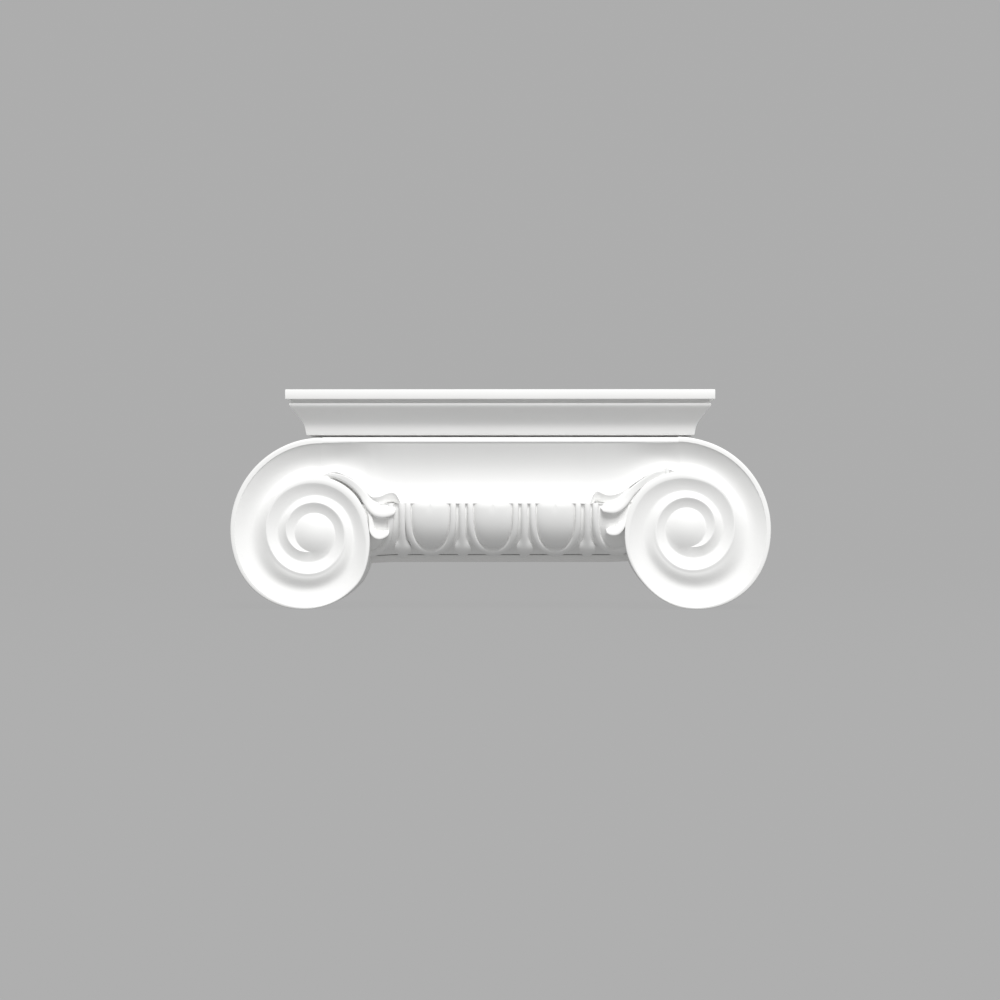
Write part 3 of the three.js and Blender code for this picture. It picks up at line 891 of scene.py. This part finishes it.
def outline_core():
    """The block that the middle makes room for, with the scroll's outline on its inner side."""
    corners = []
    for degrees in spread(190, 356, 60):
        radius = crest_radius(degrees) - CORE_INSET
        angle = math.radians(degrees)
        corners.append((EYE_X + radius * math.sin(angle), EYE_Z + radius * math.cos(angle)))
    corners += [(EYE_X + CORE_OUTWARD, corners[-1][1]), (EYE_X + CORE_OUTWARD, corners[0][1])]
    bpy.ops.object.select_all(action="DESELECT")
    bpy.ops.mesh.primitive_circle_add(vertices=len(corners), radius=1, fill_type="NGON")
    core = bpy.context.object
    core.name = "core"
    place(core, [from_wall(x, CORE_FRONT, z) for x, z in corners])
    edit(core)
    bpy.ops.mesh.select_all(action="SELECT")
    bpy.ops.mesh.extrude_region_move(TRANSFORM_OT_translate={"value": (0, CORE_LENGTH * MM, 0)})
    close_edit()
    tidy_mesh(core)
    return core


def join(base, part, operation):
    step = base.modifiers.new("join", "BOOLEAN")
    step.operation = operation
    step.solver = "MANIFOLD"
    step.object = part
    bpy.ops.object.select_all(action="DESELECT")
    bpy.context.view_layer.objects.active = base
    base.select_set(True)
    bpy.ops.object.modifier_apply(modifier="join")
    bpy.data.objects.remove(part)
    print(operation, len(base.data.polygons))


for part in row:
    join(middle, part, "UNION")
core = outline_core()
left_core = copy_of(core, "core_left", mirror=True)
ease_ring(left_core, -1, LEFT_EASE)
for part in (left_core, core):
    join(middle, part, "DIFFERENCE")
for part in [scroll, left_scroll, *leaves, abacus]:
    join(middle, part, "UNION")
capital = middle
capital.name = "cast_capital"

# %% [markdown]
# On the real piece the scrolls' outlines are level, but inside them the left eye sits
# a little low and the right one a little high. The whole casting is eased by that
# much round each eye, fading out towards the outline.

# %% Ease the eyes up and down
EYE_EASE = 1.75
EASE_REACH = 53.5
EASE_SIDEWAYS = 4.9
for vertex in capital.data.vertices:
    spot = vertex.co / MM
    side = 1 if spot.x > 0 else -1
    along_x, along_z = side * spot.x - EYE_X, spot.z - EYE_Z
    radius = math.hypot(along_x, along_z)
    reach = EASE_REACH + EASE_SIDEWAYS * along_z / max(radius, 0.001)
    vertex.co.z += side * EYE_EASE * max(0, 1 - (radius / reach) ** 2) * MM
print("casting closed:", is_closed(capital), "faces:", len(capital.data.polygons))

# %% [markdown]
# ## Primer on polyurethane
# The maker sprays the moulding with a white primer, which dries matt and even with
# a faint stipple. It scatters nearly all light, so shape is read from soft shading.

# %% Material helpers
def linear(code):
    """An sRGB hex colour as linear values for a shader."""
    values = [int(code[i:i + 2], 16) / 255 for i in (1, 3, 5)]
    return [v / 12.92 if v <= 0.04045 else ((v + 0.055) / 1.055) ** 2.4 for v in values] + [1]


def add_node(tree, kind, settings=(), **links):
    """Add a node, set its values, and link its inputs from other nodes' outputs."""
    node = tree.nodes.new(kind)
    for name, value in dict(settings).items():
        if name in node.inputs:
            node.inputs[name].default_value = value
        else:
            setattr(node, name, value)
    for name, source in links.items():
        tree.links.new(source, node.inputs[name.replace("_", " ")])
    return node


# %% Moulded, primed polyurethane
# Real primer stipple is finer than this. It is drawn as coarse as it needs to show.
STIPPLE_MM = 0.9
CLOUD_MM = 40
primed = bpy.data.materials.new("moulded_primed_polyurethane")
primed.use_nodes = True
tree = primed.node_tree
shader = tree.nodes["Principled BSDF"]
shader.inputs["Roughness"].default_value = 0.62
shader.inputs["IOR"].default_value = 1.46
place_on = add_node(tree, "ShaderNodeTexCoord")
stipple = add_node(
    tree, "ShaderNodeTexNoise", {"Scale": 1 / (STIPPLE_MM * MM), "Detail": 3.0, "Roughness": 0.5},
    Vector=place_on.outputs["Object"],
)
cloud = add_node(
    tree, "ShaderNodeTexNoise", {"Scale": 1 / (CLOUD_MM * MM), "Detail": 2.0},
    Vector=place_on.outputs["Object"],
)
tone = add_node(tree, "ShaderNodeMix", {"data_type": "RGBA"}, Factor=cloud.outputs["Fac"])
tone.inputs[6].default_value = linear("#f3f3f2")
tone.inputs[7].default_value = linear("#f7f7f6")
tree.links.new(tone.outputs[2], shader.inputs["Base Color"])
bump = add_node(
    tree, "ShaderNodeBump", {"Strength": 0.12, "Distance": 0.03 * MM}, Height=stipple.outputs["Fac"],
)
tree.links.new(bump.outputs["Normal"], shader.inputs["Normal"])
capital.data.materials.clear()
capital.data.materials.append(primed)
bpy.ops.object.select_all(action="DESELECT")
capital.select_set(True)
bpy.context.view_layer.objects.active = capital
bpy.ops.object.shade_smooth_by_angle(angle=math.radians(30))

# %% [markdown]
# ## Stage, light and camera
# A photographer sweeps one roll of paper from the table up the wall behind it, so
# that no corner shows. A plane is the table, and its far edge is extruded in short
# steps round a bend and then straight up. The paper glows evenly in its own grey and
# lights nothing, because the photographed ground has one flat tone and no shadow.

# %% Stage
STAGE_GREY = "#aeaeae"
TABLE_SIZE = 6
TABLE_BACK_Y = 1.4
BEND_STEPS = 12
BEND_STEP = 0.1
WALL_HEIGHT = 3
bpy.ops.mesh.primitive_plane_add(size=TABLE_SIZE, location=(0, 0, 0))
floor = bpy.context.object
floor.name = "studio_floor"
edit(floor)
bpy.ops.mesh.select_mode(type="EDGE")
close_edit()
for vertex in floor.data.vertices:
    vertex.select = vertex.co.y > 0
    if vertex.select:
        vertex.co.y = TABLE_BACK_Y
for edge in floor.data.edges:
    edge.select = all(floor.data.vertices[i].select for i in edge.vertices)
for polygon in floor.data.polygons:
    polygon.select = False
bpy.ops.object.mode_set(mode="EDIT")
for i in range(BEND_STEPS):
    angle = math.pi / 2 * (i + 0.5) / BEND_STEPS
    bpy.ops.mesh.extrude_region_move(
        TRANSFORM_OT_translate={"value": (0, BEND_STEP * math.cos(angle), BEND_STEP * math.sin(angle))},
    )
bpy.ops.mesh.extrude_region_move(TRANSFORM_OT_translate={"value": (0, 0, WALL_HEIGHT)})
close_edit()
print("stage, m:", [round(v, 2) for v in floor.dimensions])
grey = bpy.data.materials.new("matt_grey_backdrop_paper")
grey.use_nodes = True
paper = grey.node_tree.nodes["Principled BSDF"]
paper.inputs["Base Color"].default_value = linear("#1c1c1c")
paper.inputs["Roughness"].default_value = 1.0
paper.inputs["Specular IOR Level"].default_value = 0.0
paper.inputs["Emission Color"].default_value = linear(STAGE_GREY)
paper.inputs["Emission Strength"].default_value = 0.97
floor.data.materials.append(grey)
floor.visible_diffuse = False

# %% [markdown]
# One square soft box stands high in front, a little to the right. Seen from the
# capital it is small enough to model every curve and wide enough for soft shadows.

# %% Light
def area_light(name, place_at, aim, size, power):
    bpy.ops.object.light_add(type="AREA", location=place_at)
    lamp = bpy.context.object
    lamp.name = name
    lamp.data.shape = "RECTANGLE"
    lamp.data.size, lamp.data.size_y = size
    lamp.data.energy = power
    lamp.rotation_euler = (Vector(aim) - Vector(place_at)).to_track_quat("-Z", "Y").to_euler()
    return lamp


KEY_HEIGHT = math.radians(50)
KEY_TO_RIGHT = math.radians(12)
KEY_DISTANCE = 2.6
KEY_AIM_Z = 0.07
KEY_SIDE = 1.0
KEY_WATTS = 64.5
key_at = (
    KEY_DISTANCE * math.cos(KEY_HEIGHT) * math.sin(KEY_TO_RIGHT),
    -KEY_DISTANCE * math.cos(KEY_HEIGHT) * math.cos(KEY_TO_RIGHT),
    KEY_AIM_Z + KEY_DISTANCE * math.sin(KEY_HEIGHT),
)
area_light("overhead_softbox", key_at, (0, 0, KEY_AIM_Z), (KEY_SIDE, KEY_SIDE), KEY_WATTS)
print("soft box at", [round(v, 2) for v in key_at])

# %% [markdown]
# The rest of the studio is a pale room. It is nearly the same all round, and a touch
# darker below, so undersides turn grey and no shadow is black.

# %% Studio air
AIR_BELOW = 0.38
AIR_ABOVE = 0.42
world = bpy.data.worlds.new("studio_air")
world.use_nodes = True
air = world.node_tree
around = add_node(air, "ShaderNodeTexCoord")
height_of = add_node(air, "ShaderNodeSeparateXYZ", Vector=around.outputs["Generated"])
rising = add_node(
    air, "ShaderNodeMapRange",
    {"From Min": -0.6, "From Max": 0.5, "To Min": AIR_BELOW, "To Max": AIR_ABOVE},
    Value=height_of.outputs["Z"],
)
air.links.new(rising.outputs["Result"], air.nodes["Background"].inputs["Strength"])
air.nodes["Background"].inputs["Color"].default_value = linear("#ffffff")
bpy.context.scene.world = world
bpy.context.scene.view_settings.view_transform = "Standard"

# %% [markdown]
# The camera looks straight at the front, from far away and level with the capital's
# middle, and stands 3 cm to the right. The lens is worked out from the width that
# the picture shows at the fronts of the scrolls.

# %% Camera
FRAME_WIDTH = 0.628
CAMERA_DISTANCE = 2.15
FRONT_TO_SCROLLS = 0.011
CAMERA_TO_RIGHT = 0.03
FRAME_MIDDLE_Z = 0.0688
turn_left = math.atan2(CAMERA_TO_RIGHT, CAMERA_DISTANCE)
bpy.ops.object.camera_add(
    location=(CAMERA_TO_RIGHT, -BACK_Y - CAMERA_DISTANCE, FRAME_MIDDLE_Z),
    rotation=(math.pi / 2, 0, turn_left),
)
camera = bpy.context.object
camera.name = "photo_view"
camera.data.sensor_width = 36
camera.data.lens = camera.data.sensor_width * (CAMERA_DISTANCE + FRONT_TO_SCROLLS) / FRAME_WIDTH
bpy.context.scene.camera = camera
print("lens, mm:", round(camera.data.lens, 1))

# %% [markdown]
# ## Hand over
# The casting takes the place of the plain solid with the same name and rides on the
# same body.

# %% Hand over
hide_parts("capital")
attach(capital, "root")
